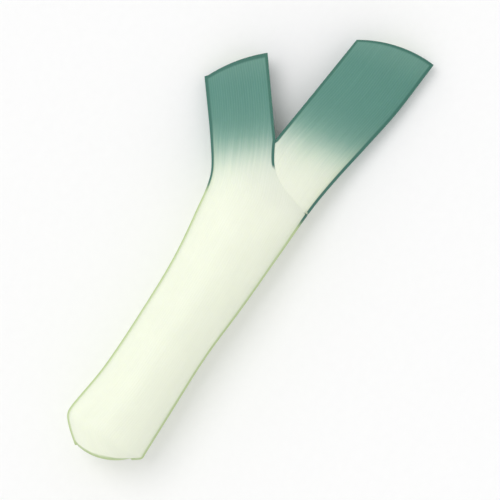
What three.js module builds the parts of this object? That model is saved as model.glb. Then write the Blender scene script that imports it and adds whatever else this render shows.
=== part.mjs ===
// A trimmed leek lying on its side: a root plate and seven leaves. Each leaf is a
// closed tube (its sheath) in the shaft and a blade folded along its keel above
// it. The blades fan out in one plane, alternately to the left and the right.
//
// Millimetres. +X runs up the shaft from the root end, +Y is left, +Z is up.
import * as THREE from "three";

// Driving dimensions ---------------------------------------------------------

const LEAF_NAMES = [
  "outer_leaf",
  "second_leaf",
  "third_leaf",
  "fourth_leaf",
  "fifth_leaf",
  "sixth_leaf",
  "heart_leaf",
];

// Outline of the shaft in the plane of the fan, as [x, y].
const LEFT_EDGE = [
  [20, 24.2],
  [45, 21.8],
  [80, 22.0],
  [115, 23.8],
  [145, 28.3],
  [165, 32.8],
  [179.3, 42.3],
  [208.3, 66.3],
];
const RIGHT_EDGE = [
  [20, -24.0],
  [45, -23.0],
  [80, -21.8],
  [115, -23.1],
  [150, -23.7],
  [180, -24.3],
  [200, -26.2],
  [225, -29.8],
  [250, -33.0],
  [283, -34.8],
];

// Half the thickness of the shaft, across the plane of the fan, as [x, z].
const HALF_THICKNESS = [
  [20, 22.6],
  [45, 21.9],
  [110, 21.6],
  [145, 19.6],
  [170, 16.2],
  [200, 12.6],
  [240, 10.2],
];
// Half the thickness of a bundle of blades, by distance past the fork.
const BUNDLE_HALF_THICKNESS = [
  [0, 12.2],
  [15, 10.6],
  [45, 8.2],
  [80, 7.4],
];

// Spacing of the layers, and the gap left between two of them.
const SHAFT_PITCH = 2.9;
const BLADE_PITCH = 1.75;
const PITCH_NARROWS = [110, 185];
const LAYER_GAP = 0.55;

const FORK = new THREE.Vector2(201.8, 15.3);
const LEFT_CUT = { keel: [208.5, 66.5], margin: [237.7, 44.4], bulge: 1.8 };
const RIGHT_CUT = { keel: [284.2, -34.9], margin: [271.2, 7.9], bulge: 3.3 };
const KEEL_AT_FORK = { left: 179.3, right: 199.8 };
// Where the sheaths open, on each edge of the shaft, and how their margins run on.
const MOUTH_X = { left: 163, right: 176 };
const MARGIN_BEND = { left: [6, 30], right: [12, -8] };
// Above 1, this makes the rungs close together where a sheath starts to open.
const MARGIN_EASE = 1.8;
// Each margin of one side lies this much further in than the one outside it.
const MARGIN_RECESS = 1.5;
// Where the keels move out into the room that the opened sheaths leave.
const KEELS_MOVE_OUT = { left: [169, 188], right: [185, 208] };
// How much thinner a leaf is at its margins, and how far below the mouth that starts.
const MARGIN_THINNING = 0.55;
const THINNING_LENGTH = 30;
// The share of the way from the keel to the margin where a leaf starts to thin.
const THINNING_START = 0.3;
// Past the fork the shaft's shape turns into the bundle's own over this length.
const BUNDLE_BLEND = 18;
// The share of a blade's length where its cut end starts to bulge.
const BULGE_START = 0.6;

// The root plate's rim and the outer leaf's foot, each as the left end, the right
// end and the half-thickness of a ring.
const FOOT_RINGS = [
  { left: [2.1, 12.6], right: [9.3, -15.6], half: 14.0 },
  { left: [6.6, 19.3], right: [12.6, -21.9], half: 19.4 },
  { left: [12.5, 23.8], right: [15.6, -24.6], half: 22.0 },
];
const FOOT_MIDDLE = HALF_THICKNESS[0][1];
const FOOT_WALL = 2.2;
const FOOT_CLEARANCE = 0.5;
// The root plate's lowest point, its rings between there and its rim, and its flat top.
const ROOT_TIP = [2.4, -1.4];
const DOME_SHARES = [0.35, 0.7, 0.93];
const ROOT_TOP_X = 17.4;
// The rungs of a closed sheath. The last three lean over towards the fork.
const SHEATH_X = [17.9, 32, 50, 80, 110, 130, 145, 158, 168];

// The underside is pressed flat by this much where it touches the table.
const PRESSED_FLAT = 0.35;
// The underside arches off the table by this much below the fork.
const ARCH_HEIGHT = 2;
const ARCH_CENTRE = 178;
const ARCH_REACH = 42;

// Steps from the keel round to the opposite side, on each face, and steps along
// the open part of a sheath and along a blade.
const STEPS = 9;
const OPEN_STEPS = 7;
const BLADE_STEPS = { left: 5, right: 7 };
// Points that share a place to this fraction of a millimetre are one vertex.
const PLACES_PER_MM = 1e4;

// Curves and small helpers ---------------------------------------------------

/** A smooth function of x through [x, y] knots, straight beyond the last ones. */
function smoothThrough(knots) {
  const slope = (a, b) => (knots[b][1] - knots[a][1]) / (knots[b][0] - knots[a][0]);
  const last = knots.length - 1;
  const slopes = knots.map((_, k) => slope(Math.max(k - 1, 0), Math.min(k + 1, last)));
  return (x) => {
    if (x <= knots[0][0]) return knots[0][1] + slopes[0] * (x - knots[0][0]);
    if (x >= knots[last][0]) return knots[last][1] + slopes[last] * (x - knots[last][0]);
    let k = 0;
    while (x > knots[k + 1][0]) k += 1;
    const width = knots[k + 1][0] - knots[k][0];
    const t = (x - knots[k][0]) / width;
    const rise = (3 - 2 * t) * t * t;
    const start = knots[k][1] + (knots[k + 1][1] - knots[k][1]) * rise;
    const bend = slopes[k] * t * (1 - t) ** 2 - slopes[k + 1] * t * t * (1 - t);
    return start + width * bend;
  };
}

const vec = (pair) => new THREE.Vector2(pair[0], pair[1]);
const smooth = THREE.MathUtils.smoothstep;
const lerp = THREE.MathUtils.lerp;

const edges = { left: smoothThrough(LEFT_EDGE), right: smoothThrough(RIGHT_EDGE) };
const shaftHalf = smoothThrough(HALF_THICKNESS);
const bundleHalf = smoothThrough(BUNDLE_HALF_THICKNESS);
const inward = { left: -1, right: 1 };
const opposite = { left: "right", right: "left" };

/** The distance from one layer to the next. */
function pitch(x) {
  return lerp(SHAFT_PITCH, BLADE_PITCH, smooth(x, PITCH_NARROWS[0], PITCH_NARROWS[1]));
}

/** The y of an edge of the shaft, moved in by a depth at right angles to it. */
function insetEdge(side, x, depth) {
  const slope = edges[side](x + 0.5) - edges[side](x - 0.5);
  return edges[side](x) + inward[side] * depth * Math.hypot(1, slope);
}

/** The curves that bound a bundle of blades, by u: 0 at the fork, 1 at the cut. */
function bundleRung(side, u) {
  const cut = side === "left" ? LEFT_CUT : RIGHT_CUT;
  const keelX = lerp(KEEL_AT_FORK[side], cut.keel[0], u);
  const keel = new THREE.Vector2(keelX, edges[side](keelX));
  const margin = FORK.clone().lerp(vec(cut.margin), u);
  const across = margin.clone().sub(keel);
  const width = across.length();
  across.divideScalar(width);
  const along = new THREE.Vector2(-across.y, across.x).multiplyScalar(-inward[side]);
  return { keel, margin, across, along, width, bulge: cut.bulge * smooth(u, BULGE_START, 1) };
}

// Layers ---------------------------------------------------------------------

/**
 * How many of the layers outside a leaf have opened and left its keel's side,
 * which lets the keel move out.
 */
function released(leaf, x) {
  const [start, end] = KEELS_MOVE_OUT[leaf.side];
  return (leaf.order - leaf.rank) * smooth(x, start, end);
}

/** The layer that a leaf's face follows, counted from the outside of the leek. */
function layerAt(leaf, face, far, f) {
  if (face === "outer") return leaf.order;
  const mouth = MOUTH_X[opposite[leaf.side]];
  const open = smooth(far.x, mouth - THINNING_LENGTH, mouth);
  const thinning = MARGIN_THINNING * open * smooth(f, THINNING_START, 1);
  return leaf.order + (1 - LAYER_GAP / pitch(far.x)) * (1 - thinning);
}

/** The half-height of a layer over a point of the shaft. */
function shaftHeight(leaf, layer, point) {
  const step = pitch(point.x);
  const keelEdge = insetEdge(leaf.side, point.x, (layer - released(leaf, point.x)) * step);
  const farEdge = insetEdge(opposite[leaf.side], point.x, layer * step);
  const centre = (keelEdge + farEdge) / 2;
  const q = (point.y - centre) / ((keelEdge - farEdge) / 2);
  return (shaftHalf(point.x) - layer * step) * Math.sqrt(Math.max(0, 1 - q * q));
}

/** How far the underside arches off the table. */
function archRise(x) {
  const reach = THREE.MathUtils.clamp((x - ARCH_CENTRE) / ARCH_REACH, -1, 1);
  return ARCH_HEIGHT * Math.cos((reach * Math.PI) / 2) ** 2;
}

/** Puts a point of the plan at its height above or below the leek's middle. */
function place(point, middle, height) {
  const z = Math.max(middle + height, PRESSED_FLAT) - PRESSED_FLAT;
  return new THREE.Vector3(point.x, point.y, z);
}

/** One rung of a leaf's face in the shaft: 2 * STEPS + 1 points from margin to margin. */
function shaftRung(leaf, face, rung) {
  const edge = new THREE.Vector2(rung.keelX, edges[leaf.side](rung.keelX));
  const across = rung.far.clone().sub(edge).normalize();
  const keelDepth = layerAt(leaf, face, rung.far, 0) - released(leaf, rung.keelX);
  const keel = edge.clone().addScaledVector(across, keelDepth * pitch(rung.keelX));
  const far = rung.far.clone();
  const farDepth = layerAt(leaf, face, rung.far, 1) * pitch(rung.far.x);
  if (rung.open === 0) far.addScaledVector(across, -farDepth);
  return rungPoints(keel, far, rung.open, (point, f) => {
    const atEdge = f === 0 || (f === 1 && rung.open === 0);
    const height = atEdge ? 0 : shaftHeight(leaf, layerAt(leaf, face, rung.far, f), point);
    return { height, middle: shaftHalf(point.x) + archRise(point.x) };
  });
}

/** One rung of a leaf's face in a bundle of blades, past the fork. */
function bladeRung(leaf, face, u) {
  const rung = bundleRung(leaf.side, u);
  const depthAt = (f) => {
    return (layerAt(leaf, face, rung.margin, f) - released(leaf, rung.keel.x)) * BLADE_PITCH;
  };
  const keel = rung.keel.clone().addScaledVector(rung.across, depthAt(0));
  const far = rung.margin.clone().addScaledVector(rung.across, -MARGIN_RECESS * leaf.rank);
  const past = Math.max(0, rung.margin.distanceTo(FORK));
  const own = smooth(past, 0, BUNDLE_BLEND);
  return rungPoints(keel, far, 1, (point, f) => {
    const distance = point.distanceTo(rung.keel);
    const q = (rung.width - distance) / (rung.width - depthAt(f));
    const ownHeight = (bundleHalf(past) - depthAt(f)) * Math.sqrt(Math.max(0, 1 - q * q));
    const shaft = shaftHeight(leaf, layerAt(leaf, face, rung.margin, f), point);
    const height = f === 0 ? 0 : lerp(shaft, ownHeight, own);
    const middle = lerp(shaftHalf(point.x), bundleHalf(past), own) + archRise(point.x);
    const share = distance / rung.width;
    point.addScaledVector(rung.along, 4 * share * (1 - share) * rung.bulge);
    return { height, middle };
  });
}

/** Points over the lower face, round the keel and over the upper face. */
function rungPoints(keel, far, open, heightAt) {
  const sweep = lerp(Math.PI, Math.PI / 2, open);
  const points = [];
  for (let column = -STEPS; column <= STEPS; column += 1) {
    const turn = (Math.abs(column) / STEPS) * sweep;
    const f = (1 - Math.cos(turn)) / (1 - Math.cos(sweep));
    const point = keel.clone().lerp(far, f);
    const { height, middle } = heightAt(point, f);
    points.push(place(point, middle, Math.sign(column) * height));
  }
  return points;
}

/** A ring of the foot, drawn in by a depth. */
function footRing(ring, depth) {
  const left = vec(ring.left);
  const right = vec(ring.right);
  const across = right.clone().sub(left).normalize();
  left.addScaledVector(across, depth);
  right.addScaledVector(across, -depth);
  const half = ring.half - depth;
  return rungPoints(left, right, 0, (_, f) => {
    return { height: half * 2 * Math.sqrt(Math.max(0, f * (1 - f))), middle: FOOT_MIDDLE };
  });
}

// Solids ---------------------------------------------------------------------

/** Collects vertices and faces, and merges vertices that share a place. */
class Shell {
  constructor() {
    this.positions = [];
    this.faces = [];
    this.known = new Map();
  }

  vertex(point) {
    const key = [point.x, point.y, point.z].map((v) => Math.round(v * PLACES_PER_MM)).join(",");
    if (!this.known.has(key)) {
      this.known.set(key, this.positions.length / 3);
      this.positions.push(point.x, point.y, point.z);
    }
    return this.known.get(key);
  }

  triangle(a, b, c) {
    const corners = [a, b, c].map((point) => this.vertex(point));
    if (new Set(corners).size === 3) this.faces.push(...corners);
  }

  quad(a, b, c, d) {
    this.triangle(a, b, c);
    this.triangle(a, c, d);
  }

  /** Faces between successive rows of points. */
  sheet(rows) {
    for (let row = 0; row + 1 < rows.length; row += 1) {
      const [low, high] = [rows[row], rows[row + 1]];
      for (let k = 0; k + 1 < low.length; k += 1) {
        this.quad(low[k], high[k], high[k + 1], low[k + 1]);
      }
    }
  }

  /** Faces from a row of points to one point. */
  fan(row, centre) {
    for (let k = 0; k + 1 < row.length; k += 1) this.triangle(row[k], row[k + 1], centre);
  }

  /** The geometry, turned inside out where its rows run the other way round. */
  geometry(side) {
    const faces = side === "left" ? this.faces.slice().reverse() : this.faces;
    const geometry = new THREE.BufferGeometry();
    geometry.setAttribute("position", new THREE.Float32BufferAttribute(this.positions, 3));
    geometry.setIndex(faces);
    geometry.computeVertexNormals();
    return geometry;
  }
}

/** A quadratic curve from a sheath's mouth along its margin to the fork. */
function marginCurve(leaf) {
  const across = bundleRung(leaf.side, 0).across;
  const end = FORK.clone().addScaledVector(across, -MARGIN_RECESS * leaf.rank);
  const farSide = opposite[leaf.side];
  const x = MOUTH_X[farSide];
  const start = new THREE.Vector2(x, insetEdge(farSide, x, leaf.order * pitch(x)));
  const bend = start.clone().add(vec(MARGIN_BEND[leaf.side]));
  return new THREE.QuadraticBezierCurve(start, bend, end);
}

/** The rungs of a leaf's sheath, from its foot to the fork. */
function sheathRungs(leaf) {
  const farSide = opposite[leaf.side];
  const rungs = SHEATH_X.map((x) => {
    const tilt = smooth(x, SHEATH_X.at(-3), SHEATH_X.at(-1));
    const keelX = lerp(x, MOUTH_X[leaf.side], tilt);
    const farX = lerp(x, MOUTH_X[farSide], tilt);
    return { keelX, far: new THREE.Vector2(farX, edges[farSide](farX)), open: 0 };
  });
  const keelX = MOUTH_X[leaf.side];
  const margin = marginCurve(leaf);
  for (let k = 1; k <= OPEN_STEPS; k += 1) {
    const v = k / OPEN_STEPS;
    const far = margin.getPoint(v ** MARGIN_EASE);
    rungs.push({ keelX: lerp(keelX, KEEL_AT_FORK[leaf.side], v), far, open: v });
  }
  return rungs;
}

/** The rows of one face of a leaf, from its foot to its cut end. */
function faceRows(leaf, face) {
  const rows = sheathRungs(leaf).map((rung) => shaftRung(leaf, face, rung));
  const steps = BLADE_STEPS[leaf.side];
  for (let k = 1; k <= steps; k += 1) rows.push(bladeRung(leaf, face, k / steps));
  return rows;
}

/** A leaf with its foot, sheath and folded blade as one solid. */
function leafGeometry(leaf) {
  const shell = new Shell();
  const outer = faceRows(leaf, "outer");
  const inner = faceRows(leaf, "inner");
  if (leaf.order === 0) {
    outer.unshift(...FOOT_RINGS.map((ring) => footRing(ring, 0)));
    inner.unshift(...FOOT_RINGS.map((ring) => footRing(ring, FOOT_WALL)));
  }
  shell.sheet(outer);
  shell.sheet(inner.map((row) => row.slice().reverse()));
  shell.sheet([inner[0], outer[0]]);
  shell.sheet([outer.at(-1), inner.at(-1)]);
  const mouth = outer.length - OPEN_STEPS - BLADE_STEPS[leaf.side] - 1;
  for (const end of [0, 2 * STEPS]) {
    const margins = [outer, inner].map((rows) => rows.slice(mouth).map((row) => row[end]));
    shell.sheet(end === 0 ? margins : margins.reverse());
  }
  return shell.geometry(leaf.side);
}

/** The heart leaf: young, still rolled tight, and solid. */
function heartGeometry(leaf) {
  const shell = new Shell();
  const rows = faceRows(leaf, "outer");
  shell.sheet(rows);
  const closeEnd = (row, flip) => {
    for (let k = 0; k < STEPS; k += 1) {
      const corners = [row[k], row[k + 1], row[2 * STEPS - k - 1], row[2 * STEPS - k]];
      shell.quad(...(flip ? corners.reverse() : corners));
    }
  };
  closeEnd(rows[0], false);
  closeEnd(rows.at(-1), true);
  for (let row = 0; row + 1 < rows.length; row += 1) {
    shell.quad(rows[row][0], rows[row][2 * STEPS], rows[row + 1][2 * STEPS], rows[row + 1][0]);
  }
  return shell.geometry(leaf.side);
}

/** The root plate: a low dome of trimmed root, widening inside the outer leaf's foot. */
function rootGeometry() {
  const shell = new Shell();
  const inset = FOOT_WALL + FOOT_CLEARANCE;
  const rim = FOOT_RINGS[0];
  const tip = new THREE.Vector3(ROOT_TIP[0], ROOT_TIP[1], FOOT_MIDDLE - PRESSED_FLAT);
  const discCentre = vec(rim.left).add(vec(rim.right)).multiplyScalar(0.5);
  const centre = new THREE.Vector3(discCentre.x, discCentre.y, tip.z);
  const swell = tip.clone().sub(centre);
  const rows = DOME_SHARES.map((share) => {
    return footRing(rim, inset).map((point) => {
      const onDisc = new THREE.Vector3().lerpVectors(centre, point, share);
      return onDisc.addScaledVector(swell, 1 - share * share);
    });
  });
  rows.push(...FOOT_RINGS.map((ring) => footRing(ring, inset)));
  const top = footRing(FOOT_RINGS.at(-1), inset + FOOT_CLEARANCE);
  for (const point of top) point.x = ROOT_TOP_X;
  rows.push(top);
  shell.sheet(rows);
  shell.fan(rows[0], tip);
  shell.fan(top.slice().reverse(), new THREE.Vector3(ROOT_TOP_X, 0, tip.z));
  return shell.geometry("left");
}

// Assembly -------------------------------------------------------------------

const CREAM = 0xf1f6e2;
const PALE_GREEN = 0xe4eccb;
const ROOT_TAN = 0xe2d9b4;
const ROUGHNESS = 0.5;

function addPiece(group, name, geometry, color) {
  const material = new THREE.MeshStandardMaterial({ color, roughness: ROUGHNESS, metalness: 0 });
  const mesh = new THREE.Mesh(geometry, material);
  mesh.name = name;
  group.add(mesh);
}

const leek = new THREE.Group();
addPiece(leek, "root_plate", rootGeometry(), ROOT_TAN);
LEAF_NAMES.forEach((name, order) => {
  const side = order % 2 === 0 ? "left" : "right";
  const leaf = { order, side, rank: Math.floor(order / 2) };
  const solid = order === LEAF_NAMES.length - 1;
  addPiece(leek, name, solid ? heartGeometry(leaf) : leafGeometry(leaf), solid ? PALE_GREEN : CREAM);
});

// The origin is under the middle of the whole leek, on the table.
const box = new THREE.Box3().setFromObject(leek);
const middle = box.getCenter(new THREE.Vector3());
leek.position.set(-middle.x, -middle.y, -box.min.z);

export default leek;
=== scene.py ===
"""A trimmed leek lying on its side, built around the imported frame: a root plate and seven nested leaves.

The leek has its own coordinates in millimetres: x runs up the shaft from the root end, y is left
and z is up. Each leaf is a closed sheath in the shaft and a blade folded along its keel above the fork.
"""

import math

import bpy
import numpy as np
from mathutils import Matrix, Vector


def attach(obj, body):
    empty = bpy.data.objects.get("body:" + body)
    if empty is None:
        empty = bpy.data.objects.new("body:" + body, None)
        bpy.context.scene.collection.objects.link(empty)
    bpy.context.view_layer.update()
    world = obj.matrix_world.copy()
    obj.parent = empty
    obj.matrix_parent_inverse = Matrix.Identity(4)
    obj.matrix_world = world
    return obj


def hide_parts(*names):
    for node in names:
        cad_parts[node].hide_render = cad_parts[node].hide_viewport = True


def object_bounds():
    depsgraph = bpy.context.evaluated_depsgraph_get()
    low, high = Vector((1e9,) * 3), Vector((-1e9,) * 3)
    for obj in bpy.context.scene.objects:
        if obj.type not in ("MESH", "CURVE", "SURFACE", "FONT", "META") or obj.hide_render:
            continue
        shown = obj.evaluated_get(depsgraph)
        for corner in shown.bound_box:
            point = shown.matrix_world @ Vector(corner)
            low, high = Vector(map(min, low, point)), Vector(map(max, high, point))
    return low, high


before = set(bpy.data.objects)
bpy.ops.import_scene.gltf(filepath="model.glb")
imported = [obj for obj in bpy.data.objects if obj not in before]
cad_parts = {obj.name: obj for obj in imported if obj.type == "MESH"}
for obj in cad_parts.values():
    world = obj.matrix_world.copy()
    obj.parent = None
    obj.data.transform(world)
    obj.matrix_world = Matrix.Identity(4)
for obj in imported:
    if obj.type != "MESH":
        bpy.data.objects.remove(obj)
cad_low, cad_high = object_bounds()

# The leek's own millimetres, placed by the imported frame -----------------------

LEEK_START_X = 1.8
LEEK_END_X = 284.2
LEEK_LEFT_Y = 66.5
MM = (cad_high.x - cad_low.x) / (LEEK_END_X - LEEK_START_X)
ORIGIN = np.array([cad_low.x - LEEK_START_X * MM, cad_high.y - LEEK_LEFT_Y * MM, cad_low.z])

# Sizes ------------------------------------------------------------------------

LEAF_NAMES = [
    "outer_leaf", "second_leaf", "third_leaf", "fourth_leaf",
    "fifth_leaf", "sixth_leaf", "heart_leaf",
]
OPPOSITE = {"left": "right", "right": "left"}
INWARD = {"left": -1, "right": 1}

# Outline of the shaft in the plane of the fan, as (x, y).
LEFT_EDGE = [
    (20, 24.2), (45, 21.8), (80, 22.0), (115, 23.8),
    (145, 28.3), (165, 32.8), (179.3, 42.3), (208.3, 66.3),
]
RIGHT_EDGE = [
    (20, -24.0), (45, -23.0), (80, -21.8), (115, -23.1), (150, -23.7),
    (180, -24.3), (200, -26.2), (225, -29.8), (250, -33.2), (283, -35.1),
]
# Half the thickness across that plane, as (x, z), and past the fork as (distance, z).
HALF_THICKNESS = [
    (20, 22.6), (45, 21.9), (110, 21.6), (145, 19.6), (170, 16.2), (200, 12.6), (240, 10.2),
]
BUNDLE_HALF_THICKNESS = [(0, 12.2), (15, 10.6), (45, 8.2), (80, 7.4)]

# The keels of the two outside leaves are ridges: full up to the first distance, gone at the second.
KEEL_RIDGE = 1.3
KEEL_RIDGE_SIDES = (0.3, 2.5)

# From one layer to the next, and the stretch of x where it changes.
SHAFT_PITCH = 2.9
BLADE_PITCH = 1.75
PITCH_NARROWS = (110, 185)
LAYER_GAP = 0.4

FORK = np.array([200.2, 13.8])
CUTS = {
    "left": {"keel_x": 208.5, "margin": np.array([237.7, 44.4]), "bulge": 1.8},
    "right": {"keel_x": 284.2, "margin": np.array([271.2, 7.9]), "bulge": 3.3},
}
# The share of the way from the fork to the cut where the bulge of the cut end begins.
BULGE_START = 0.6
KEEL_AT_FORK = {"left": 179.3, "right": 199.8}
SHEATH_START_X = 17.9

# Where the sheaths that open on each side do so, and how their margins bend from there to the fork.
MOUTH_X = {"left": 163, "right": 176}
MARGIN_BEND = {"left": ((5, 24), (-17, -9)), "right": ((8, -5), (-14, 5))}
MARGIN_EASE = 1.8
MARGIN_RECESS = 1.5

# A sheath thins out to this share of its thickness at its margin, and the leaf below comes up past it.
MARGIN_SHARE = 0.16
THINNING_LENGTH = 24
MARGIN_LAP = 2.0
# A blade thins out to this share of its thickness, from this share of its width.
BLADE_MARGIN_SHARE = 0.4
BLADE_THINNING_START = 0.3

# The foot of the outer leaf, from its rim up: the left end, the right end and half the height of each ring.
FOOT_RINGS = [
    ((1.3, 11.2), (12.0, -20.3), 15.0),
    ((7.1, 18.8), (13.9, -22.8), 19.8),
    ((12.5, 23.8), (15.4, -24.2), 22.0),
]
# The rings of the sheath that the foot runs on into, and where its middle height is taken.
FOOT_ONWARD_X = (SHEATH_START_X, 23.0)
FOOT_MIDDLE_X = 20
# The foot's rim bows out towards its middle, and the root plate's dome stays just inside it.
FOOT_BOW = 3.1
FOOT_BOW_RINGS = 1.6
FOOT_WALL = 2.2

PRESSED_FLAT = 0.35
ARCH_HEIGHT = 2
ARCH_CENTRE = 178
ARCH_REACH = 42
BUNDLE_BLEND = 18
ROLL_POWER = 6

# The wave of the upper flanks, over the share of the width and the distance past the fork where it grows.
RUFFLE = 0.45
RUFFLE_LENGTH = 8.5
RUFFLE_PHASE = 0.6
RUFFLE_WIDTH = (0.25, 1)
RUFFLE_START = (6, 30)

# How much shorter than the outermost each leaf was cut, in rows.
TRIMS = [0.0, 0.0, 0.5, 0.35, 0.2, 0.8, 1.3]

# Fineness of the meshes.
STEPS = 80
CROWDING = 0.6
SHEATH_ROWS = 110
HIDDEN_SHEATH_ROWS = 36
OPEN_ROWS = 44
FOOT_ROWS = 20
BLADE_ROWS = {"left": 56, "right": 80}


# Curves -----------------------------------------------------------------------

def smooth(x, low, high):
    """0 up to low and 1 from high on, with an even change between them."""
    t = np.clip((np.asarray(x, float) - low) / (high - low), 0, 1)
    return t * t * (3 - 2 * t)


def mix(a, b, t):
    return a + (b - a) * t


def unit(v):
    return v / np.linalg.norm(v)


def smooth_through(knots):
    """A smooth function through (x, y) knots, straight beyond the last ones."""
    xs = np.array([k[0] for k in knots], float)
    ys = np.array([k[1] for k in knots], float)
    last = len(xs) - 1
    low = np.maximum(np.arange(last + 1) - 1, 0)
    high = np.minimum(np.arange(last + 1) + 1, last)
    slopes = (ys[high] - ys[low]) / (xs[high] - xs[low])

    def curve(x):
        x = np.asarray(x, float)
        k = np.clip(np.searchsorted(xs, x) - 1, 0, last - 1)
        width = xs[k + 1] - xs[k]
        t = np.clip((x - xs[k]) / width, 0, 1)
        y = mix(ys[k], ys[k + 1], t * t * (3 - 2 * t))
        y = y + width * (slopes[k] * t * (1 - t) ** 2 - slopes[k + 1] * t * t * (1 - t))
        return y + slopes[0] * np.minimum(x - xs[0], 0) + slopes[last] * np.maximum(x - xs[last], 0)

    return curve


# The keels stand out to the outline as low ridges, so the leaves themselves stay that much inside it.
EDGES = {
    "left": smooth_through([(x, y - KEEL_RIDGE) for x, y in LEFT_EDGE]),
    "right": smooth_through([(x, y + KEEL_RIDGE) for x, y in RIGHT_EDGE]),
}
shaft_half = smooth_through(HALF_THICKNESS)
bundle_half = smooth_through(BUNDLE_HALF_THICKNESS)


def pitch(x):
    """The distance from one layer to the next."""
    return mix(SHAFT_PITCH, BLADE_PITCH, smooth(x, *PITCH_NARROWS))


def edge_slope(side, x):
    """The slope of an edge of the shaft, over one millimetre."""
    return EDGES[side](x + 0.5) - EDGES[side](x - 0.5)


def inset_edge(side, x, depth):
    """The y of an edge of the shaft, moved in by a depth at right angles to it."""
    return EDGES[side](x) + INWARD[side] * depth * np.hypot(1, edge_slope(side, x))


def inset_point(side, x, depth):
    """The point of an edge at x, moved in by a depth at right angles to the edge."""
    slope = edge_slope(side, x)
    inward = np.array([-slope, 1]) * INWARD[side] / np.hypot(1, slope)
    return np.array([x, EDGES[side](x)]) + inward * depth


def cubic(points, t):
    """The point at t, 0 to 1, of the curve with these four control points."""
    a, b, c, d = points
    return a * (1 - t) ** 3 + 3 * b * t * (1 - t) ** 2 + 3 * c * t * t * (1 - t) + d * t ** 3


def margin_curve(side, depth, end):
    """A sheath's margin in plan, as a function of 0 at its mouth to 1 at the fork."""
    start = inset_point(OPPOSITE[side], MOUTH_X[OPPOSITE[side]], depth)
    first, second = (np.array(bend, float) for bend in MARGIN_BEND[side])
    return lambda v: cubic([start, start + first, end + second, end], v)


# Layers -----------------------------------------------------------------------

MARGIN_POINTS = 80
LINE_REACH = 60
# How deep the second leaf lies where it starts to open, under the outer leaf.
SHEATH_OVER = float(pitch(MOUTH_X["left"]))


def margin_line(side):
    """The distance inside the margin of a side's outermost leaf, as a function of the place in plan."""
    curve = margin_curve(side, 0 if side == "left" else SHEATH_OVER, FORK)
    bend = np.array([curve(v) for v in np.linspace(0, 1, MARGIN_POINTS)])
    lead = np.array(MARGIN_BEND[side][0], float)
    onward = CUTS[side]["margin"] - FORK
    before = bend[0] - lead * LINE_REACH / lead[0]
    after = FORK + onward * LINE_REACH / onward[0]
    xs, ys = np.array([before, *bend, after]).T
    slopes = np.gradient(ys, xs)

    def inside(x, y):
        return -INWARD[side] * (y - np.interp(x, xs, ys)) / np.hypot(1, np.interp(x, xs, slopes))

    return inside


INSIDE_MARGIN = {"left": margin_line("left"), "right": margin_line("right")}


def margin_share(side, x, y):
    """How much of its thickness a leaf of this side keeps at each point, less towards its margin."""
    return mix(MARGIN_SHARE, 1, smooth(INSIDE_MARGIN[side](x, y), 0, THINNING_LENGTH))


def shaft_height(x, y, depth):
    """The half-height, over points of the shaft, of a surface at a depth below the outside."""
    left = inset_edge("left", x, depth)
    right = inset_edge("right", x, depth)
    q = (y - (left + right) / 2) / ((left - right) / 2)
    return (shaft_half(x) - depth) * np.sqrt(np.maximum(0, 1 - q * q))


class Leaf:
    """One leaf, by its order from the outside: even ones fold to the left and odd ones to the right."""

    def __init__(self, order):
        self.order = order
        self.name = LEAF_NAMES[order]
        self.side = "left" if order % 2 == 0 else "right"
        self.far_side = OPPOSITE[self.side]
        self.rank = order // 2
        self.outside = order < 2
        self.solid = order == len(LEAF_NAMES) - 1

    def depth(self, face, x, y):
        """How deep a face lies over points of the shaft: under the leaves of both sides that reach there."""
        own = margin_share(self.side, x, y)
        covered = smooth(INSIDE_MARGIN[self.far_side](x, y), -MARGIN_LAP, 0)
        other = margin_share(self.far_side, x, y) * covered
        depth = pitch(x) * (self.rank * own + (self.order - self.rank) * other)
        return depth + (pitch(x) - LAYER_GAP) * own * (face == "inner")

    def blade_depth(self, face, share):
        """How deep a face lies in its bundle of blades, over the share of the width from the keel."""
        thickness = BLADE_PITCH - LAYER_GAP
        thinned = mix(1, BLADE_MARGIN_SHARE, smooth(share, BLADE_THINNING_START, 1))
        return self.rank * BLADE_PITCH + thickness * thinned * (face == "inner")


# Rows of points ---------------------------------------------------------------

# A row runs round a leaf from its lower margin to its keel, in the middle column, and on to its upper one.
COLUMNS = np.arange(-STEPS, STEPS + 1)
UPPER = np.sign(COLUMNS)


def spread(opened):
    """The share of the way from keel to far side at each column, for opened 0 in a ring to 1 in a blade."""
    sweep = mix(math.pi, math.pi / 2, opened)
    turn = np.abs(COLUMNS) / STEPS
    turn = turn - CROWDING * np.sin(2 * math.pi * turn) / (2 * math.pi)
    return (1 - np.cos(turn * sweep)) / (1 - math.cos(sweep))


def row_points(plan, middle, height):
    """Points above and below a middle height, with the underside pressed flat on the table."""
    z = np.maximum(middle + UPPER * height, PRESSED_FLAT) - PRESSED_FLAT
    return np.column_stack([plan, z])


def arch_rise(x):
    """How far the underside arches off the table."""
    reach = np.clip((x - ARCH_CENTRE) / ARCH_REACH, -1, 1)
    return ARCH_HEIGHT * np.cos(reach * math.pi / 2) ** 2


def rolled(f, opened):
    """Rounds off the open side of a solid leaf, up to its margin."""
    return mix(1, np.sqrt(np.maximum(0, 1 - f ** ROLL_POWER)), opened)


def ruffle(past, share):
    """The gentle wave of the upper flanks towards their margins."""
    wave = RUFFLE * np.sin(past / RUFFLE_LENGTH + RUFFLE_PHASE)
    return wave * smooth(share, *RUFFLE_WIDTH) * smooth(past, *RUFFLE_START)


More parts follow.
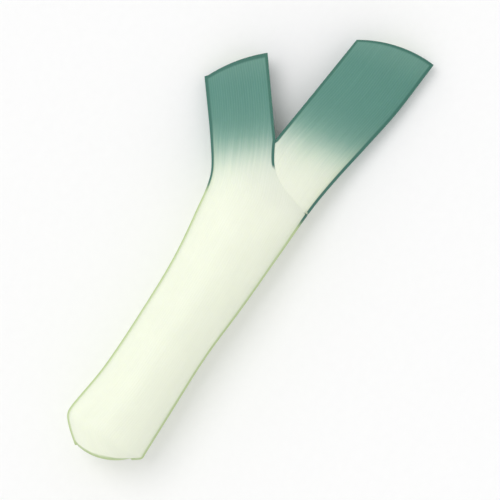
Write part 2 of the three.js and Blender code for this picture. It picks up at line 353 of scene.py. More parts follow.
def shaft_row(leaf, face, rung):
    """One row of a face in the shaft."""
    keel_x = rung["keel_x"]
    keel = inset_point(leaf.side, keel_x, leaf.depth(face, keel_x, EDGES[leaf.side](keel_x)))
    far = rung["far"]
    if rung["open"] == 0:
        far = inset_point(leaf.far_side, far[0], leaf.depth(face, *far))
    f = spread(0 if leaf.solid else rung["open"])
    plan = keel + np.outer(f, far - keel)
    x, y = plan.T
    height = shaft_height(x, y, leaf.depth(face, x, y))
    if leaf.solid:
        height = height * rolled(f, rung["open"])
    height[STEPS] = 0
    if rung["open"] == 0:
        height[[0, -1]] = 0
    return row_points(plan, shaft_half(x) + arch_rise(x), height)


def bundle_rung(side, u):
    """Keel, margin and directions of a bundle of blades: u is 0 at the fork and 1 at the cut."""
    keel_x = mix(KEEL_AT_FORK[side], CUTS[side]["keel_x"], u)
    keel = np.array([keel_x, EDGES[side](keel_x)])
    margin = mix(FORK, CUTS[side]["margin"], u)
    width = np.linalg.norm(margin - keel)
    across = (margin - keel) / width
    along = np.array([-across[1], across[0]]) * -INWARD[side]
    return keel, margin, across, along, width


def blade_row(leaf, face, u):
    """One row of a face in a bundle of blades, past the fork."""
    keel, margin, across, along, width = bundle_rung(leaf.side, u)
    f = spread(0 if leaf.solid else 1)
    depth = leaf.blade_depth(face, f)
    start = keel + across * depth[STEPS]
    end = margin - across * MARGIN_RECESS * leaf.rank
    plan = start + np.outer(f, end - start)
    x, y = plan.T
    past = np.linalg.norm(margin - FORK)
    own = smooth(past, 0, BUNDLE_BLEND)
    distance = np.linalg.norm(plan - keel, axis=1)
    share = distance / width
    q = (width - distance) / (width - depth)
    own_height = (bundle_half(past) - depth) * np.sqrt(np.maximum(0, 1 - q * q))
    height = mix(shaft_height(x, y, leaf.depth(face, x, y)), own_height, own)
    if leaf.solid:
        height = height * rolled(f, 1)
    height[STEPS] = 0
    middle = mix(shaft_half(x), bundle_half(past), own) + arch_rise(x)
    middle = middle + np.where(UPPER > 0, ruffle(past, share), 0)
    bulge = CUTS[leaf.side]["bulge"] * smooth(u, BULGE_START, 1)
    plan = plan + np.outer(4 * share * (1 - share) * bulge, along)
    return row_points(plan, middle, height)


def foot_stations():
    """Left end, right end and half-height of each ring of the foot, and of the sheath's rings after it."""
    rings = [
        (left_x, left_y - KEEL_RIDGE, right_x, right_y + KEEL_RIDGE, half)
        for (left_x, left_y), (right_x, right_y), half in FOOT_RINGS
    ]
    onward = [(x, EDGES["left"](x), x, EDGES["right"](x), shaft_half(x)) for x in FOOT_ONWARD_X]
    return rings + onward


FOOT_CURVES = [smooth_through(list(enumerate(values))) for values in zip(*foot_stations())]


def foot_row(t, depth):
    """A ring of the foot drawn in by a depth: t counts FOOT_RINGS, and on to the sheath's first row."""
    left_x, left_y, right_x, right_y, half = [float(curve(t)) for curve in FOOT_CURVES]
    left = np.array([left_x, left_y])
    right = np.array([right_x, right_y])
    across = unit(right - left)
    rootward = np.array([across[1], -across[0]])
    left = left + across * depth
    right = right - across * depth
    f = spread(0)
    height = (half - depth) * 2 * np.sqrt(np.maximum(0, f * (1 - f)))
    bow = FOOT_BOW * (1 - smooth(t, 0, FOOT_BOW_RINGS))
    plan = left + np.outer(f, right - left) + np.outer(4 * f * (1 - f) * bow, rootward)
    return row_points(plan, float(shaft_half(FOOT_MIDDLE_X)), height)


def sheath_rungs(leaf):
    """The rows of a sheath, from its foot to the fork: closed rings, and then open ones past its mouth."""
    rungs = []
    for share in np.linspace(0, 1, SHEATH_ROWS if leaf.outside else HIDDEN_SHEATH_ROWS):
        keel_x = mix(SHEATH_START_X, MOUTH_X[leaf.side], share)
        far_x = mix(SHEATH_START_X, MOUTH_X[leaf.far_side], share)
        far = np.array([far_x, EDGES[leaf.far_side](far_x)])
        rungs.append({"keel_x": keel_x, "far": far, "open": 0})
    across = bundle_rung(leaf.side, 0)[2]
    mouth_depth = leaf.depth("outer", *rungs[-1]["far"])
    curve = margin_curve(leaf.side, mouth_depth, FORK - across * MARGIN_RECESS * leaf.rank)
    for v in np.linspace(0, 1, OPEN_ROWS + 1)[1:]:
        keel_x = mix(MOUTH_X[leaf.side], KEEL_AT_FORK[leaf.side], v)
        rungs.append({"keel_x": keel_x, "far": curve(v ** MARGIN_EASE), "open": v})
    return rungs


def face_rows(leaf, face):
    """All the rows of one face of a leaf, from its foot to its cut end."""
    rows = [shaft_row(leaf, face, rung) for rung in sheath_rungs(leaf)]
    count = BLADE_ROWS[leaf.side]
    trim = TRIMS[leaf.order] / count
    rows += [blade_row(leaf, face, (k / count) * (1 - trim)) for k in range(1, count + 1)]
    if leaf.order == 0:
        depth = 0 if face == "outer" else FOOT_WALL
        turns = np.linspace(0, len(FOOT_RINGS), FOOT_ROWS, endpoint=False)
        rows = [foot_row(t, depth) for t in turns] + rows
    return np.array(rows)


# Distances over a surface -----------------------------------------------------

# The line on the far side of the outer leaf's sheath runs out over this many rows past its mouth.
LINE_FADE_ROWS = 12
FAR_OFF = 100
# Keeps the length of a normal off zero.
TINY = 1e-9


def normals_of(rows):
    along = np.gradient(rows, axis=0)
    around = np.gradient(rows, axis=1)
    n = np.cross(around, along)
    return n / np.maximum(np.linalg.norm(n, axis=2, keepdims=True), TINY)


def around_of(rows):
    """Distance over the surface from the keel, at each point."""
    steps = np.linalg.norm(np.diff(rows, axis=1), axis=2)
    upper = np.cumsum(steps[:, STEPS:], axis=1)
    lower = np.cumsum(steps[:, :STEPS][:, ::-1], axis=1)[:, ::-1]
    return np.concatenate([lower, np.zeros((len(rows), 1)), upper], axis=1)


def length_of(rows):
    """Distance along the keel from the foot, the same over each row."""
    steps = np.linalg.norm(np.diff(rows[:, STEPS], axis=0), axis=1)
    return np.concatenate([[0], np.cumsum(steps)])[:, None] + np.zeros(rows.shape[:2])


def to_margin(around):
    """Distance over the surface to the margin on the same flank, or to the far side of a closed ring."""
    return np.where(COLUMNS < 0, around[:, :1], around[:, -1:]) - around


def to_rim(rows):
    """Distance from the rim of the foot, for the rows of the foot."""
    foot = rows[:FOOT_ROWS]
    return np.linalg.norm(foot[:, :, None] - rows[0], axis=3).min(axis=2)


def to_outline(leaf, around):
    """Distance over the surface to the leaf's keel, and for the outer leaf to its closed far side too."""
    if leaf.order > 0:
        return around
    closed = len(around) - BLADE_ROWS[leaf.side] - OPEN_ROWS
    opened = np.maximum(0, (np.arange(len(around)) - closed + 1) / LINE_FADE_ROWS)[:, None]
    return np.minimum(around, to_margin(around) + FAR_OFF * opened ** 3)


# Relief -----------------------------------------------------------------------

LEAF_PHASE = 1.7
# The long ribs, as (height, spacing, sway, length of the sway).
RIBS = [(0.05, 4.1, 0.5, 31), (0.035, 2.9, 1.3, 47)]
# The slow swells are two waves crossing, each as (length along, length around).
SWELL_HEIGHT = 0.14
SWELL_WAVES = [(17, 15), (60, 11)]
SWELL_SHIFT = 0.8
# The stretches where the relief grows, away from the foot, the outline and the margin.
RELIEF_FROM_FOOT = (2, 14)
RELIEF_FROM_OUTLINE = (1, 6)
RELIEF_FROM_MARGIN = (0, 12)
# The second leaf's keel rises over this length, where it comes out of the outer leaf.
BARE_LENGTH = 2


def ribs_and_swells(leaf, around, length):
    """The height of the long ribs and the slow swells of a leaf."""
    phase = LEAF_PHASE * leaf.order
    ribs = sum(
        height * np.sin(around * 2 * math.pi / spacing + sway * np.sin(length / sway_length + phase))
        for height, spacing, sway, sway_length in RIBS
    )
    (along, across), (cross_along, cross_across) = SWELL_WAVES
    wave = np.sin(length / along + phase + around / across)
    crossing = np.sin(around / cross_across + SWELL_SHIFT * phase + length / cross_along)
    return ribs + SWELL_HEIGHT * wave * crossing


def ribbed(leaf, rows):
    """Raises the surface's long ribs, its slow swells and its keel."""
    x, y = rows[:, :, 0], rows[:, :, 1]
    around = around_of(rows)
    length = length_of(rows)
    margin = INSIDE_MARGIN[leaf.side](x, y)
    edge = to_outline(leaf, around)
    lift = ribs_and_swells(leaf, around, length) * smooth(length, *RELIEF_FROM_FOOT)
    lift = lift * smooth(edge, *RELIEF_FROM_OUTLINE) * smooth(margin, *RELIEF_FROM_MARGIN)
    if leaf.outside:
        mouth = MOUTH_X["right"]
        bare = 1 if leaf.order == 0 else smooth(x, mouth - BARE_LENGTH, mouth)
        lift = lift + KEEL_RIDGE * bare * (1 - smooth(edge, *KEEL_RIDGE_SIDES))
    outward = -INWARD[leaf.side]
    moved = rows + normals_of(rows) * (outward * lift)[:, :, None]
    moved[:, :, 2] = np.maximum(moved[:, :, 2], 0)
    return moved


# What the leaf materials read -------------------------------------------------

# Past the fork the cream turns green round a middle, and then pales a little over a stretch.
GREEN_CHANGE = {
    "left": {"middle": -3.0, "softness": 6.0, "paling": 0.08, "pales": (30, 48)},
    "right": {"middle": 10.6, "softness": 6.3, "paling": 0.07, "pales": (58, 78)},
}
GREEN_START = (-42, -26)
GREEN_TILT = 0.2

# The darker lines are partly the leaves' own darker keels, margins and cut rims, and partly painted shade
# along the outline seen from above, in the margin's crease and at the foot's rim.
# Each line is full up to its first distance and gone at its second.
END_LINE = (1.4, 2.4)
RIM_LINE = (1.7, 2.9)
RIM_LINE_STRENGTH = 0.9
MARGIN_LINE = (1.3, 2.0)
MARGIN_LINE_START_X = (185.4, 188.4)
# The keel's line widens from the shaft to the blade: where it is full, where it is gone, and its strength.
KEEL_LINE_WIDENS_X = (150, 185)
KEEL_LINE_FULL = (1.6, 2.3)
KEEL_LINE_GONE = (2.8, 3.5)
KEEL_LINE_STRENGTH = (0.9, 1)
# Where the lines change from sage to teal, on the left of this y and on the right of it.
TEAL_FROM_X = {"left": 158.0, "right": 170.0}
TEAL_DIVIDE_Y = 5
TEAL_CHANGE = (-4, 3)
# How far from the outline the greener band of the sides reaches, partly painted edge shade.
TINT_REACH = 5.5


def greenness(side, x, y):
    """0 on the cream shaft to 1 on the green blades, by the distance past the fork along the bundle."""
    change = GREEN_CHANGE[side]
    if side == "left":
        axis = unit(CUTS["left"]["margin"] - FORK)
        past = (x - FORK[0]) * axis[0] + (y - FORK[1]) * axis[1]
    else:
        past = x - FORK[0] + GREEN_TILT * y
    paled = 1 - change["paling"] * smooth(past, *change["pales"])
    green = paled / (1 + np.exp(-(past - change["middle"]) / change["softness"]))
    return green * smooth(past, *GREEN_START)


def lines_with_edge_shade(leaf, rows, around, length, edge):
    """The darker lines along the outline, the cut end, the rim of the foot and the margin: partly the leaf's
    own darker edges, partly painted shade at the edges seen from above and in the margin's crease.
    """
    x = rows[:, :, 0]
    on_blade = smooth(x, *KEEL_LINE_WIDENS_X)
    full = mix(*KEEL_LINE_FULL, on_blade)
    gone = mix(*KEEL_LINE_GONE, on_blade)
    # Each line is partly the leaf's own darker edge and partly painted shade at the outline, the margin's
    # crease and the foot's rim.
    keel_line_and_edge_shade = (1 - smooth(edge, full, gone)) * mix(*KEEL_LINE_STRENGTH, on_blade)
    end_line_and_edge_shade = 1 - smooth(length[-1] - length, *END_LINE)
    if leaf.order == 0:
        end_line_and_edge_shade[:FOOT_ROWS] = RIM_LINE_STRENGTH * (1 - smooth(to_rim(rows), *RIM_LINE))
    margin_line = (1 - smooth(to_margin(around), *MARGIN_LINE)) * smooth(x, *MARGIN_LINE_START_X)
    return np.maximum(np.maximum(keel_line_and_edge_shade, end_line_and_edge_shade), margin_line)


def leaf_masks(leaf, rows, inside):
    """What the leaf materials read: greenness, the darker lines and the greener band at the outline (both
    partly painted edge shade), and places on the surface.
    """
    x, y = rows[:, :, 0], rows[:, :, 1]
    around = around_of(rows)
    length = length_of(rows)
    edge = to_outline(leaf, around)
    teal_from = np.where(y > TEAL_DIVIDE_Y, TEAL_FROM_X["left"], TEAL_FROM_X["right"])
    teal_start, teal_end = TEAL_CHANGE
    return {
        "green": greenness(leaf.side, x, y),
        "line": lines_with_edge_shade(leaf, rows, around, length, edge),
        "line_teal": smooth(x, teal_from + teal_start, teal_from + teal_end),
        "side_green_and_edge_shade": np.exp(-(edge / TINT_REACH) ** 2),
        "around": around,
        "length": length,
        "inside": np.full(x.shape, float(inside)),
    }


# Meshes -----------------------------------------------------------------------

SKIN_SLOT = 0
CUT_SLOT = 1


def to_frame(points):
    return points * MM + ORIGIN


def grid_faces(low, high):
    """Quads between two rows of vertex indices, without the ones that have no width."""
    quads = np.column_stack([low[:-1], high[:-1], high[1:], low[1:]])
    keep = (quads[:, 0] != quads[:, 3]) & (quads[:, 1] != quads[:, 2])
    return quads[keep]


def surface_faces(index):
    """Quads between all the rows of a grid of vertex indices."""
    return np.concatenate([grid_faces(low, high) for low, high in zip(index, index[1:])])


def ring_cap(ring):
    """Quads across a closed ring of vertex indices, from one flank to the other."""
    near, far = ring[:STEPS + 1], ring[::-1][:STEPS + 1]
    return np.column_stack([near[:-1], near[1:], far[1:], far[:-1]])


def solid_faces(index):
    """The skin and the two cuts of a leaf that is solid."""
    cuts = [ring_cap(index[0]), ring_cap(index[-1])[:, ::-1]]
    return surface_faces(index), np.concatenate(cuts)


def sheet_faces(outer, inner, open_from):
    """The skin and the cuts of a leaf with an inner face, joined along its margins from a row on."""
    skins = [
        surface_faces(outer),
        surface_faces(inner[:, ::-1]),
        grid_faces(outer[open_from:, 0], inner[open_from:, 0]),
        grid_faces(inner[open_from:, -1], outer[open_from:, -1]),
    ]
    cuts = [grid_faces(inner[0], outer[0]), grid_faces(outer[-1], inner[-1])]
    return np.concatenate(skins), np.concatenate(cuts)


def leaf_faces(leaf, rows, columns):
    """Corners and material slot of each face of a leaf, over its outer grid and then its inner one."""
    count = rows * columns
    grids = [np.arange(count).reshape(rows, columns) + k * count for k in range(1 if leaf.solid else 2)]
    open_from = rows - 1 if leaf.solid else rows - BLADE_ROWS[leaf.side] - OPEN_ROWS - 1
    for grid in grids:
        grid[: open_from + 1, -1] = grid[: open_from + 1, 0]
    skins, cuts = solid_faces(*grids) if leaf.solid else sheet_faces(*grids, open_from)
    quads = np.concatenate([skins, cuts])
    if leaf.side == "left":
        quads = quads[:, ::-1]
    faces = [list(dict.fromkeys(quad)) for quad in quads.tolist()]
    slots = [SKIN_SLOT] * len(skins) + [CUT_SLOT] * len(cuts)
    kept = [(face, slot) for face, slot in zip(faces, slots) if len(face) >= 3]
    return zip(*kept)


def leaf_object(leaf, skin, cut):
    """A leaf with its foot, sheath and folded blade as one closed mesh."""
    surfaces = [ribbed(leaf, face_rows(leaf, "outer"))]
    if not leaf.solid:
        surfaces.append(face_rows(leaf, "inner"))
    faces, slots = leaf_faces(leaf, *surfaces[0].shape[:2])
    points = np.concatenate([surface.reshape(-1, 3) for surface in surfaces])
    masks = [leaf_masks(leaf, surface, k) for k, surface in enumerate(surfaces)]
    attributes = {key: np.concatenate([mask[key].ravel() for mask in masks]) for key in masks[0]}
    return build("veined_" + leaf.name, points, faces, attributes, [skin, cut], slots)


def build(name, points, faces, attributes, materials, slots):
    """A smooth-shaded object in the frame, from points in the leek's millimetres."""
    used = np.array(sorted({corner for face in faces for corner in face}))
    index = np.full(len(points), -1)
    index[used] = np.arange(len(used))
    mesh = bpy.data.meshes.new(name)
    corners = [[int(index[c]) for c in face] for face in faces]
    mesh.from_pydata(to_frame(points[used]).tolist(), [], corners)
    for key, values in attributes.items():
        layer = mesh.attributes.new(key, "FLOAT", "POINT")
        layer.data.foreach_set("value", values[used].astype(np.float32))
    for material in materials:
        mesh.materials.append(material)
    mesh.polygons.foreach_set("material_index", np.array(slots, np.int32))
    mesh.polygons.foreach_set("use_smooth", np.ones(len(mesh.polygons), bool))
    mesh.update()
    piece = bpy.data.objects.new(name, mesh)
    bpy.context.scene.collection.objects.link(piece)
    return piece


# Root plate -------------------------------------------------------------------

ROOT_GAP = 0.35
ROOT_DOME = 2.3
ROOT_TOP_X = 17.4
ROOT_TOP_RING = 2
ROOT_TOP_INSET = 0.4
DOME_ROWS = 64
DOME_START = 0.02
ROOT_SIDE_ROWS = 13

GOLDEN_ANGLE = math.pi * (3 - math.sqrt(5))
SCAR_COUNT = 64
SCAR_RADIUS = (0.6, 1.05)
SCAR_HEIGHT = 0.45
SCAR_HOLLOW = 0.45
SCAR_REACH = 0.88
# The spiral of scars starts this many scars out, and sways by this much.
SCAR_START = 4.5
SCAR_SWAY = 0.12
# In shares of a scar's radius: the outside of its ring, its hollow middle and its colour.
SCAR_RING = (0.75, 1.15)
SCAR_MIDDLE = (0.0, 0.6)
SCAR_COLOUR = (0.7, 1.1)
# The scars flatten towards the edge of the dome.
DOME_EDGE = (0.93, 1.0)
GRAIN_HEIGHT = 0.12


def scar_places():
    """Root scars spiral out from the middle of the dome: their places in shares of it, and their radii."""
    places = []
    for k in range(SCAR_COUNT):
        reach = SCAR_REACH * math.sqrt((k + SCAR_START) / (SCAR_COUNT + 4))
        turn = k * GOLDEN_ANGLE + SCAR_SWAY * math.sin(k * 12.9)
        radius = mix(*SCAR_RADIUS, 0.5 + 0.5 * math.sin(k * 3.7))
        places.append((reach * math.cos(turn), reach * math.sin(turn), radius))
    return places


def scar_relief(a, b, half_length, half):
    """The height and the colour of the scars: low rings with a hollow middle."""
    lift = np.zeros(a.shape)
    scar = np.zeros(a.shape)
    for u, v, radius in scar_places():
        distance = np.hypot((a - u) * half_length, (b - v) * half) / radius
        hollow = SCAR_HOLLOW * (1 - smooth(distance, *SCAR_MIDDLE))
        lift = np.maximum(lift, 1 - smooth(distance, *SCAR_RING) - hollow)
        scar = np.maximum(scar, 1 - smooth(distance, *SCAR_COLOUR))
    return lift * (1 - smooth(np.hypot(a, b), *DOME_EDGE)), scar


def root_rows(rim, centre, rootward, inset):
    """Rings from the middle of the dome out to its rim, and on up inside the outer leaf's foot."""
    bow = (rim - centre) @ rootward
    flat_rim = rim - centre - np.outer(bow, rootward)
    rows = []
    for share in np.linspace(DOME_START, 1, DOME_ROWS):
        rise = mix(ROOT_DOME, bow, share * share)
        rows.append(centre + flat_rim * share + np.outer(rise, rootward))
    for t in np.linspace(0, ROOT_TOP_RING, ROOT_SIDE_ROWS + 1)[1:]:
        rows.append(foot_row(t, inset))
    top = foot_row(float(ROOT_TOP_RING), inset + ROOT_TOP_INSET)
    top[:, 0] = ROOT_TOP_X
    rows.append(top)
    return np.array(rows)


def root_faces(count, columns):
    """The faces of the root plate's rings, with a fan to the tip of its dome and one to its back."""
    index = np.arange(count * columns).reshape(count, columns)
    index[:, -1] = index[:, 0]
    faces = surface_faces(index)[:, ::-1].tolist()
    tip, back = count * columns, count * columns + 1
    for k in range(columns - 1):
        faces.append([tip, int(index[0][k + 1]), int(index[0][k])])
        faces.append([back, int(index[-1][k]), int(index[-1][k + 1])])
    return faces


def root_object(skin):
    """The root plate: a low dome of trimmed root, widening inside the outer leaf's foot."""
    inset = FOOT_WALL + ROOT_GAP
    rim = foot_row(0.0, inset)
    left, right = rim[STEPS], rim[0]
    centre = (left + right) / 2
    half_length = np.linalg.norm(left - right) / 2
    half = rim[:, 2].max() - centre[2]
    axis = unit(left - right)
    rootward = np.array([-axis[1], axis[0], 0])
    rows = root_rows(rim, centre, rootward, inset)
    a = (rows - centre) @ axis / half_length
    b = (rows - centre)[:, :, 2] / half
    dome = np.arange(len(rows))[:, None] < DOME_ROWS
    lift, scar = scar_relief(a, b, half_length, half)
    grain = GRAIN_HEIGHT * np.sin(a * 31 + 2 * np.sin(b * 17)) * np.sin(b * 27 + 1.5 * np.sin(a * 19))
    relief = (SCAR_HEIGHT * lift + grain) * dome
    rows = rows + rootward * relief[:, :, None]
    ends = [centre + ROOT_DOME * rootward, [ROOT_TOP_X, 0, centre[2]]]
    points = np.concatenate([rows.reshape(-1, 3), ends])
    faces = root_faces(*rows.shape[:2])
    attributes = {
        "scar": np.append((scar * dome).ravel(), [0, 0]),
        "reach": np.append(np.hypot(a, b).ravel(), [0, 1]),
    }
    return build("scarred_root_plate", points, faces, attributes, [skin], [SKIN_SLOT] * len(faces))


# Materials --------------------------------------------------------------------

CREAM = (241, 246, 226)
TEAL = (86, 138, 125)
CREAM_VEIN = (214, 226, 184)
TEAL_VEIN = (150, 186, 172)
SAGE_LINE = (184, 203, 148)
TEAL_LINE = (62, 113, 100)
CUT_CORE = (212, 226, 180)
# The darker colour of the air channels is painted shade in their hollows.
CUT_HOLE_SHADE = (150, 178, 140)
ROOT_CREAM = (238, 240, 216)
ROOT_PATCH = (229, 230, 198)
ROOT_RIM = (214, 222, 180)
ROOT_SCAR = (211, 201, 157)
FLOOR_GREYS = ((249, 249, 249), (252, 252, 252))

VEIN_SPACING = 1.35
RAMP_STEPS = 4
# How far red, green and blue light spread under a skin, as shares of the scale.
SUBSURFACE_RADIUS = (1.0, 1.1, 0.6)
SUBSURFACE_SCALE = 2.5 * MM


def colour(display):
    """A scene-linear colour from its 8-bit display values."""
    values = [v / 255 for v in display]
    return [v / 12.92 if v <= 0.04045 else ((v + 0.055) / 1.055) ** 2.4 for v in values] + [1]


def between(first, second, share):
    return tuple(mix(a, b, share) for a, b in zip(first, second))


class Nodes:
    """Short names for the nodes of one material."""

    def __init__(self, name):
        self.material = bpy.data.materials.new(name)
        self.material.use_nodes = True
        self.tree = self.material.node_tree
        self.shader = self.tree.nodes["Principled BSDF"]

    def add(self, kind, values=(), **settings):
        node = self.tree.nodes.new(kind)
        for key, value in settings.items():
            setattr(node, key, value)
        for socket, value in values:
            if isinstance(value, bpy.types.NodeSocket):
                self.tree.links.new(value, node.inputs[socket])
            else:
                node.inputs[socket].default_value = value
        return node

    def read(self, name):
        return self.add("ShaderNodeAttribute", attribute_name=name).outputs["Fac"]

    def place(self):
        return self.add("ShaderNodeTexCoord").outputs["Object"]

    def math(self, operation, *inputs, clamp=False):
        return self.add("ShaderNodeMath", enumerate(inputs), operation=operation, use_clamp=clamp).outputs[0]

    def times(self, first, *others):
        """The product of its inputs."""
        for other in others:
            first = self.math("MULTIPLY", first, other)
        return first

    def blend(self, share, first, second, mode="MIX"):
        values = [(0, share), (6, first), (7, second)]
        return self.add("ShaderNodeMix", values, data_type="RGBA", blend_type=mode).outputs[2]

    def noise(self, vector, scale, detail=2.0, roughness=0.5):
        values = [("Vector", vector), ("Scale", scale), ("Detail", detail), ("Roughness", roughness)]
        return self.add("ShaderNodeTexNoise", values).outputs["Fac"]

    def leaf_noise(self, across, along, seed, **settings):
        """Noise over a leaf's surface, by its steps to the millimetre across and along the veins."""
        x = self.times(self.read("around"), across)
        y = self.times(self.read("length"), along)
        return self.noise(self.vector(x, y, seed), 1.0, **settings)

    def vector(self, x, y, z=0.0):
        return self.add("ShaderNodeCombineXYZ", [("X", x), ("Y", y), ("Z", z)]).outputs[0]

    def ramp(self, share, stops):
        node = self.add("ShaderNodeValToRGB", [("Fac", share)])
        elements = node.color_ramp.elements
        while len(elements) < len(stops):
            elements.new(0.5)
        for element, (place, value) in zip(elements, stops):
            element.position = place
            element.color = colour(value)
        return node.outputs["Color"]

    def bump(self, height, distance, strength):
        values = [("Height", height), ("Distance", distance), ("Strength", strength)]
        return self.add("ShaderNodeBump", values).outputs["Normal"]

    def finish(self, base, roughness, normal, subsurface, specular):
        for name, value in (("Base Color", base), ("Roughness", roughness), ("Normal", normal)):
            self.tree.links.new(value, self.shader.inputs[name])
        self.shader.inputs["Subsurface Weight"].default_value = subsurface
        self.shader.inputs["Subsurface Radius"].default_value = SUBSURFACE_RADIUS
        self.shader.inputs["Subsurface Scale"].default_value = SUBSURFACE_SCALE
        self.shader.inputs["Specular IOR Level"].default_value = specular
        return self.material


def leaf_ground(n, green, pale, streak):
    """Cream turning to blue-green, where the change follows the veins."""
    drift = n.times(n.times(green, pale, 1.1), n.math("SUBTRACT", streak, 0.5))
    share = n.math("ADD", green, drift, clamp=True)
    stops = [(k / RAMP_STEPS, between(CREAM, TEAL, k / RAMP_STEPS)) for k in range(RAMP_STEPS + 1)]
    return n.ramp(share, stops)


def leaf_lines_with_edge_shade(n, base, streak):
    """The darker keel, margins and cut rim of a leaf's outside, partly their own tone and partly painted
    edge shade, with a slightly rough edge.
    """
    rough_edge = n.math("MULTIPLY_ADD", streak, -0.6, 0.1)
    # Painted edge shade, partly the leaf's own darker edge colour, laid over the skin.
    line = n.math("MULTIPLY_ADD", n.read("line"), 1.3, rough_edge, clamp=True)
    line_colour = n.blend(n.read("line_teal"), colour(SAGE_LINE), colour(TEAL_LINE))
    on_outside = n.math("SUBTRACT", 1.0, n.read("inside"))
    return n.blend(n.times(line, on_outside), base, line_colour)


def leaf_skin(name, seed):
    """Waxy leaf: cream on the sheath, blue-green on the blade, with fine long veins, and darker lines and a
    greener band at the outline that are partly painted edge shade.
    """
    n = Nodes(name)
    green = n.read("green")
    pale = n.math("SUBTRACT", 1.0, green)
    streak = n.leaf_noise(0.9, 0.035, seed, detail=3.0, roughness=0.6)
    fine = n.leaf_noise(3.2, 0.05, seed + 9.0)
    cloud = n.leaf_noise(0.07, 0.05, seed + 4.0)
    base = leaf_ground(n, green, pale, streak)
    # Veins: a little lighter on the blade, a little greener on the sheath.
    turns = n.times(n.read("around"), 2 * math.pi / VEIN_SPACING)
    wave = n.math("SINE", n.math("ADD", turns, n.times(streak, 5.0)))
    vein = n.math("POWER", n.math("MULTIPLY_ADD", wave, 0.5, 0.5), 3.0)
    base = n.blend(n.times(vein, green, 0.10), base, colour(TEAL_VEIN))
    base = n.blend(n.times(vein, pale, 0.10), base, colour(CREAM_VEIN))
    # The sides of the shaft are a little greener along the veins, most at the outline: partly the shaft's
    # own green streaks, partly painted edge shade.
    veined = n.math("MULTIPLY_ADD", vein, 0.5, 0.2)
    base = n.blend(n.times(n.read("side_green_and_edge_shade"), pale, veined), base, colour(SAGE_LINE))
    tone = n.math("MULTIPLY_ADD", n.math("ADD", fine, cloud), 0.07, 0.93)
    base = n.blend(1.0, base, n.vector(tone, tone, tone), mode="MULTIPLY")
    base = leaf_lines_with_edge_shade(n, base, streak)
    relief = n.math("ADD", n.times(vein, 0.6), n.times(fine, 0.8))
    normal = n.bump(relief, 0.12 * MM, 0.5)
    rough = n.math("ADD", n.math("MULTIPLY_ADD", green, 0.12, 0.40), n.times(fine, 0.12))
    return n.finish(base, rough, normal, subsurface=0.12, specular=0.35)


def cut_face(name, seed):
    """A cut edge: pale wet tissue between two darker skins, with rows of air channels in the blades whose
    hollows are painted darker as shade.
    """
    n = Nodes(name)
    green, around, inside = n.read("green"), n.read("around"), n.read("inside")
    across = n.math("ABSOLUTE", n.math("SUBTRACT", inside, 0.5))
    skin = n.math("MULTIPLY", n.math("SUBTRACT", across, 0.3, clamp=True), 5.0, clamp=True)
    cell_at = n.vector(n.times(around, 0.75), inside, seed)
    cells = n.add("ShaderNodeTexVoronoi", [("Vector", cell_at), ("Scale", 1.0)]).outputs["Distance"]
    # The air channels are painted darker: painted shade in their hollows.
    hole = n.math("MULTIPLY", n.math("SUBTRACT", 0.42, cells, clamp=True), 4.0, clamp=True)
    hole = n.times(hole, n.math("MULTIPLY_ADD", green, 0.9, 0.1))
    core = n.blend(n.times(hole, 0.55), colour(CUT_CORE), colour(CUT_HOLE_SHADE))
    skin_colour = n.blend(green, colour(SAGE_LINE), colour(TEAL_LINE))
    base = n.blend(n.times(skin, 0.85), core, skin_colour)
    grain = n.noise(n.vector(around, n.times(inside, 2.0), seed), 3.0)
    normal = n.bump(n.math("SUBTRACT", grain, hole), 0.15 * MM, 0.6)
    rough = n.math("MULTIPLY_ADD", grain, 0.2, 0.3)
    return n.finish(base, rough, normal, subsurface=0.15, specular=0.5)


def root_skin():
    """Trimmed root plate: cream, with tan scars and a greener rim."""
    n = Nodes("root_plate_skin")
    place = n.place()
    grain = n.noise(place, 900.0, detail=4.0, roughness=0.6)
    patch = n.noise(place, 160.0)
    base = n.blend(n.times(patch, 0.5), colour(ROOT_CREAM), colour(ROOT_PATCH))
    scar = n.math("MULTIPLY", n.read("scar"), n.math("MULTIPLY_ADD", grain, 0.6, 0.4), clamp=True)
    base = n.blend(scar, base, colour(ROOT_SCAR))
    rim = n.math("MULTIPLY", n.math("POWER", n.read("reach"), 3.0), 0.75, clamp=True)
    base = n.blend(rim, base, colour(ROOT_RIM))
    normal = n.bump(grain, 0.3 * MM, 0.6)
    rough = n.math("MULTIPLY_ADD", grain, 0.3, 0.5)
    return n.finish(base, rough, normal, subsurface=0.1, specular=0.3)


def floor_surface():
    """A plain matt floor, with a hardly visible grain."""
    n = Nodes("floor")
    grain = n.noise(n.place(), 220.0, detail=3.0)
    first, second = FLOOR_GREYS
    base = n.blend(grain, colour(first), colour(second))
    normal = n.bump(grain, 0.0001, 0.1)
    rough = n.math("MULTIPLY_ADD", grain, 0.1, 0.8)
    return n.finish(base, rough, normal, subsurface=0.0, specular=0.1)


# Stage ------------------------------------------------------------------------

# The camera looks straight down, turned so that the shaft runs up to the right.
CAMERA_TURN = math.radians(55.79)
VIEW_RIGHT = Vector((math.cos(CAMERA_TURN), -math.sin(CAMERA_TURN), 0))
VIEW_UP = Vector((math.sin(CAMERA_TURN), math.cos(CAMERA_TURN), 0))
VIEW_BACK = Vector((0, 0, 1))
VIEW_CENTRE = (142.5, -8.6)
VIEW_WIDTH = 275.0
VIEW_END = 20
OUTLINE_HEIGHT = 16.0
LENS = 200.0
SENSOR = 36.0

FLOOR_HALF = 6.0
FLOOR_DROP = 0.0001

# The world is brightest at the horizon and evens out from this height up.
HORIZON_STRENGTH = 0.96
OVERHEAD_STRENGTH = 0.78
EVEN_HEIGHT = 0.6
KEY_STRENGTH = 0.8
KEY_SPREAD = math.radians(35)
# The place of the key lamp, as it looks in the picture: to the right, up and towards the camera.
KEY_PLACE = (-0.7, 0.6, 1.7)


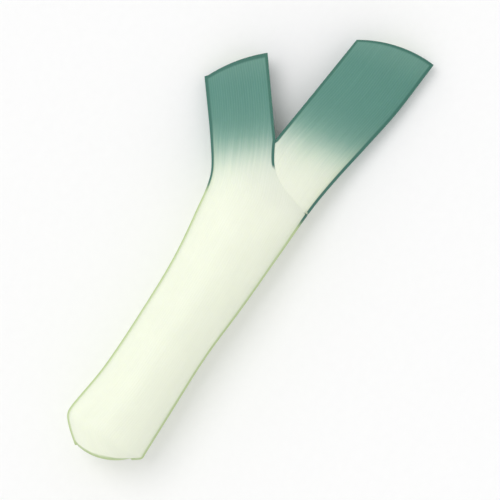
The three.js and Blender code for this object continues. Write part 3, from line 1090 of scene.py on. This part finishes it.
def add_camera():
    """Looks straight down, from so high that the view is VIEW_WIDTH wide at the outline's height."""
    camera = bpy.data.objects.new("camera", bpy.data.cameras.new("camera"))
    camera.data.lens = LENS
    camera.data.sensor_width = SENSOR
    height = VIEW_WIDTH * LENS / SENSOR + OUTLINE_HEIGHT
    place = to_frame(np.array([*VIEW_CENTRE, height]))
    turned = Matrix((VIEW_RIGHT, VIEW_UP, VIEW_BACK)).transposed().to_4x4()
    camera.matrix_world = Matrix.Translation(place) @ turned
    camera.data.clip_end = VIEW_END
    bpy.context.scene.collection.objects.link(camera)
    bpy.context.scene.camera = camera


def add_floor():
    """A plain pale floor."""
    half = FLOOR_HALF
    height = ORIGIN[2] - FLOOR_DROP
    corners = [(-half, -half, height), (half, -half, height), (half, half, height), (-half, half, height)]
    mesh = bpy.data.meshes.new("floor")
    mesh.from_pydata(corners, [], [(0, 1, 2, 3)])
    mesh.materials.append(floor_surface())
    floor = bpy.data.objects.new("floor", mesh)
    bpy.context.scene.collection.objects.link(floor)


def add_world():
    """Soft white light from all round."""
    world = bpy.data.worlds.new("studio")
    world.use_nodes = True
    tree = world.node_tree
    background = tree.nodes["Background"]
    direction = tree.nodes.new("ShaderNodeTexCoord")
    height = tree.nodes.new("ShaderNodeSeparateXYZ")
    fall = tree.nodes.new("ShaderNodeMapRange")
    tree.links.new(direction.outputs["Generated"], height.inputs[0])
    tree.links.new(height.outputs["Z"], fall.inputs["Value"])
    fall.inputs["From Max"].default_value = EVEN_HEIGHT
    fall.inputs["To Min"].default_value = HORIZON_STRENGTH
    fall.inputs["To Max"].default_value = OVERHEAD_STRENGTH
    background.inputs["Color"].default_value = (1.0, 1.0, 1.0, 1)
    tree.links.new(fall.outputs[0], background.inputs["Strength"])
    bpy.context.scene.world = world


def add_key():
    """A broad lamp over the upper left."""
    lamp = bpy.data.lights.new("key", "SUN")
    lamp.angle = KEY_SPREAD
    lamp.energy = KEY_STRENGTH
    key = bpy.data.objects.new("key", lamp)
    right, up, back = KEY_PLACE
    key.location = VIEW_RIGHT * right + VIEW_UP * up + VIEW_BACK * back
    key.rotation_mode = "QUATERNION"
    key.rotation_quaternion = (-key.location).to_track_quat("-Z", "Y")
    bpy.context.scene.collection.objects.link(key)


# Assembly ---------------------------------------------------------------------

# From leaf to leaf, the noise of the materials moves on by these.
SKIN_SEED_STEP = 3.0
CUT_SEED_STEP = 5.0

add_camera()
add_world()
add_key()
add_floor()
bpy.context.scene.view_settings.view_transform = "Standard"

for order in range(len(LEAF_NAMES)):
    leaf = Leaf(order)
    skin = leaf_skin(leaf.name + "_skin", SKIN_SEED_STEP * order)
    cut = cut_face(leaf.name + "_cut", CUT_SEED_STEP * order)
    piece = leaf_object(leaf, skin, cut)
    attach(piece, "root")
    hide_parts(leaf.name)

root = root_object(root_skin())
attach(root, "root")
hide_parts("root_plate")
